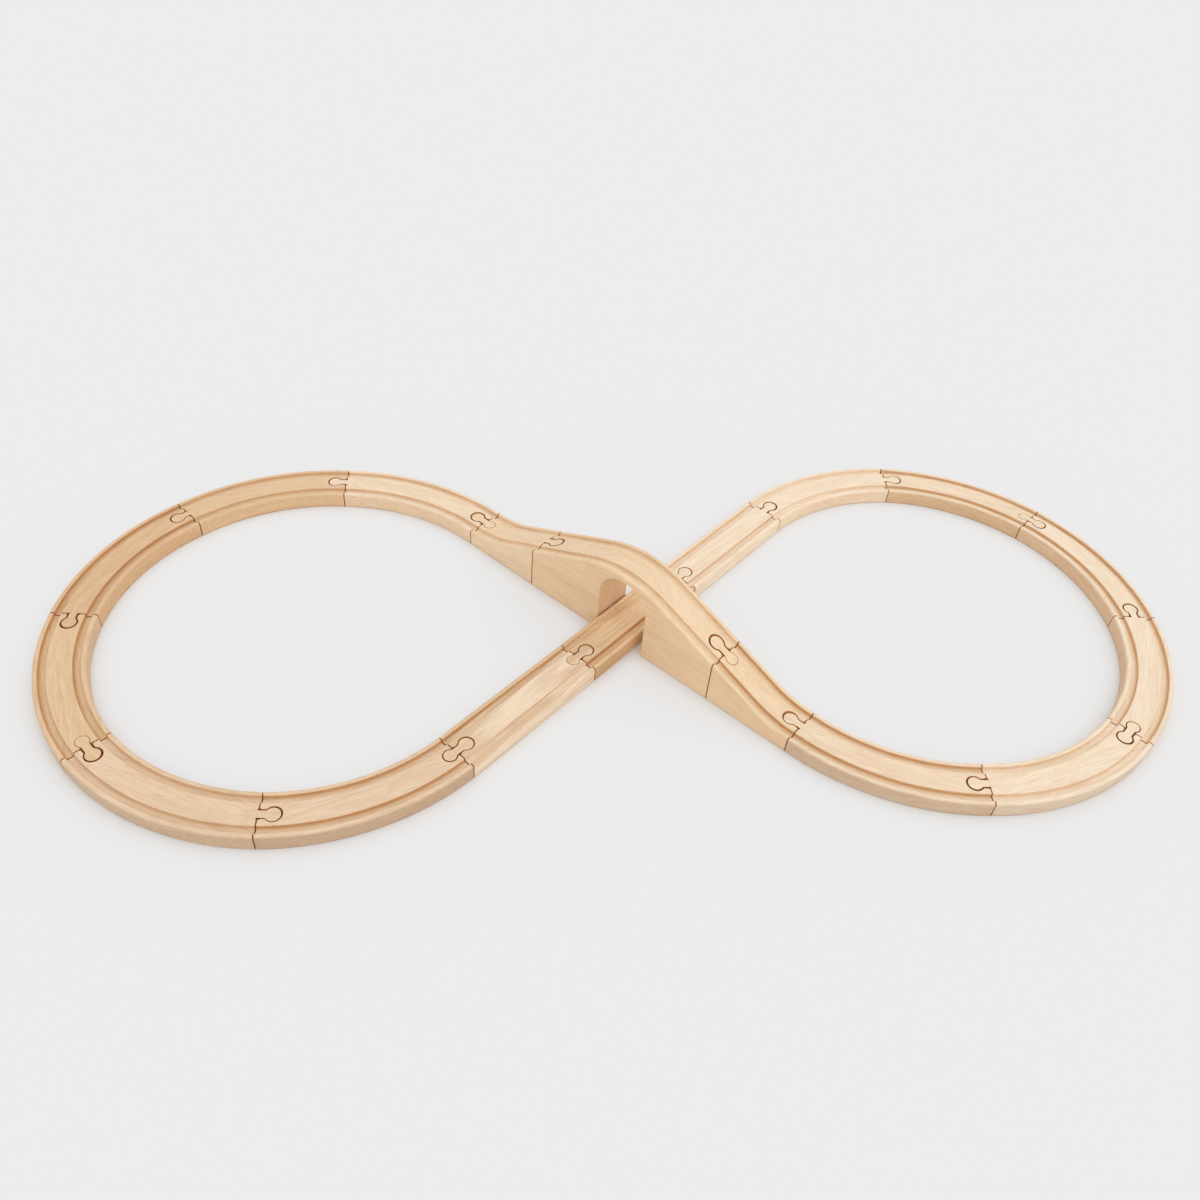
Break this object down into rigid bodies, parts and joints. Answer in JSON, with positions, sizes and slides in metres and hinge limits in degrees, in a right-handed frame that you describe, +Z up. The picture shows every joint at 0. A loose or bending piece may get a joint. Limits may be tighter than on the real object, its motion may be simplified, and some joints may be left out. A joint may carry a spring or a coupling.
{
  "type": "wooden train track",
  "caption": "Closed figure-eight wooden toy train track: grooved flat curves and straights joined by dog-bone pegs, with a ramped bridge block that carries one run over the other.",
  "frame": {"origin": "on the floor under the middle of the centre straight, where the bridge crosses over it", "axes": "+X through the outermost joint of the right loop, +Z up"},
  "size_m": [0.9816, 0.4482, 0.075],
  "materials": {
    "beech_straight": "sanded beech with a clear satin finish",
    "beech_right": "sanded beech with a clear satin finish",
    "beech_left": "sanded beech with a clear satin finish",
    "beech_bridge": "sanded beech with a clear satin finish",
    "beech_peg": "sanded beech with a clear satin finish"
  },
  "bodies": {
    "straight_near": {"straight_near": "beech_straight", "peg_straight_near": "beech_peg"},
    "straight_centre": {"straight_centre": "beech_straight", "peg_straight_centre": "beech_peg"},
    "straight_far": {"straight_far": "beech_straight", "peg_straight_far": "beech_peg"},
    "curve_right_1": {"curve_right_1": "beech_right", "peg_curve_right_1": "beech_peg"},
    "curve_right_2": {"curve_right_2": "beech_right", "peg_curve_right_2": "beech_peg"},
    "curve_right_3": {"curve_right_3": "beech_right"},
    "curve_right_4": {"curve_right_4": "beech_right", "peg_curve_right_4": "beech_peg", "peg_curve_right_4_back": "beech_peg"},
    "curve_right_5": {"curve_right_5": "beech_right", "peg_curve_right_5": "beech_peg"},
    "curve_right_6": {"curve_right_6": "beech_right", "peg_curve_right_6": "beech_peg"},
    "ramp_near": {"ramp_near": "beech_bridge", "peg_ramp_near": "beech_peg"},
    "bridge_arch": {"bridge_arch": "beech_bridge"},
    "ramp_far": {"ramp_far": "beech_bridge", "peg_ramp_far": "beech_peg", "peg_ramp_far_back": "beech_peg"},
    "curve_left_1": {"curve_left_1": "beech_left", "peg_curve_left_1": "beech_peg"},
    "curve_left_2": {"curve_left_2": "beech_left", "peg_curve_left_2": "beech_peg"},
    "curve_left_3": {"curve_left_3": "beech_left", "peg_curve_left_3": "beech_peg"},
    "curve_left_4": {"curve_left_4": "beech_left", "peg_curve_left_4": "beech_peg"},
    "curve_left_5": {"curve_left_5": "beech_left", "peg_curve_left_5": "beech_peg"},
    "curve_left_6": {"curve_left_6": "beech_left", "peg_curve_left_6": "beech_peg"}
  },
  "joints": [
    {"name": "lift_straight_near", "type": "slide", "parent": "straight_centre", "child": "straight_near", "axis": [0, 0, 1], "range_m": [0, 0.02]},
    {"name": "lift_straight_far", "type": "slide", "parent": "straight_centre", "child": "straight_far", "axis": [0, 0, 1], "range_m": [0, 0.02]},
    {"name": "lift_curve_right_1", "type": "slide", "parent": "straight_centre", "child": "curve_right_1", "axis": [0, 0, 1], "range_m": [0, 0.02]},
    {"name": "lift_curve_right_2", "type": "slide", "parent": "straight_centre", "child": "curve_right_2", "axis": [0, 0, 1], "range_m": [0, 0.02]},
    {"name": "lift_curve_right_3", "type": "slide", "parent": "straight_centre", "child": "curve_right_3", "axis": [0, 0, 1], "range_m": [0, 0.02]},
    {"name": "lift_curve_right_4", "type": "slide", "parent": "straight_centre", "child": "curve_right_4", "axis": [0, 0, 1], "range_m": [0, 0.02]},
    {"name": "lift_curve_right_5", "type": "slide", "parent": "straight_centre", "child": "curve_right_5", "axis": [0, 0, 1], "range_m": [0, 0.02]},
    {"name": "lift_curve_right_6", "type": "slide", "parent": "straight_centre", "child": "curve_right_6", "axis": [0, 0, 1], "range_m": [0, 0.02]},
    {"name": "lift_ramp_near", "type": "slide", "parent": "bridge_arch", "child": "ramp_near", "axis": [0, 0, 1], "range_m": [0, 0.03]},
    {"name": "lift_bridge_arch", "type": "slide", "parent": "straight_centre", "child": "bridge_arch", "axis": [0, 0, 1], "range_m": [0, 0.03]},
    {"name": "lift_ramp_far", "type": "slide", "parent": "bridge_arch", "child": "ramp_far", "axis": [0, 0, 1], "range_m": [0, 0.03]},
    {"name": "lift_curve_left_1", "type": "slide", "parent": "straight_centre", "child": "curve_left_1", "axis": [0, 0, 1], "range_m": [0, 0.02]},
    {"name": "lift_curve_left_2", "type": "slide", "parent": "straight_centre", "child": "curve_left_2", "axis": [0, 0, 1], "range_m": [0, 0.02]},
    {"name": "lift_curve_left_3", "type": "slide", "parent": "straight_centre", "child": "curve_left_3", "axis": [0, 0, 1], "range_m": [0, 0.02]},
    {"name": "lift_curve_left_4", "type": "slide", "parent": "straight_centre", "child": "curve_left_4", "axis": [0, 0, 1], "range_m": [0, 0.02]},
    {"name": "lift_curve_left_5", "type": "slide", "parent": "straight_centre", "child": "curve_left_5", "axis": [0, 0, 1], "range_m": [0, 0.02]},
    {"name": "lift_curve_left_6", "type": "slide", "parent": "straight_centre", "child": "curve_left_6", "axis": [0, 0, 1], "range_m": [0, 0.02]}
  ]
}
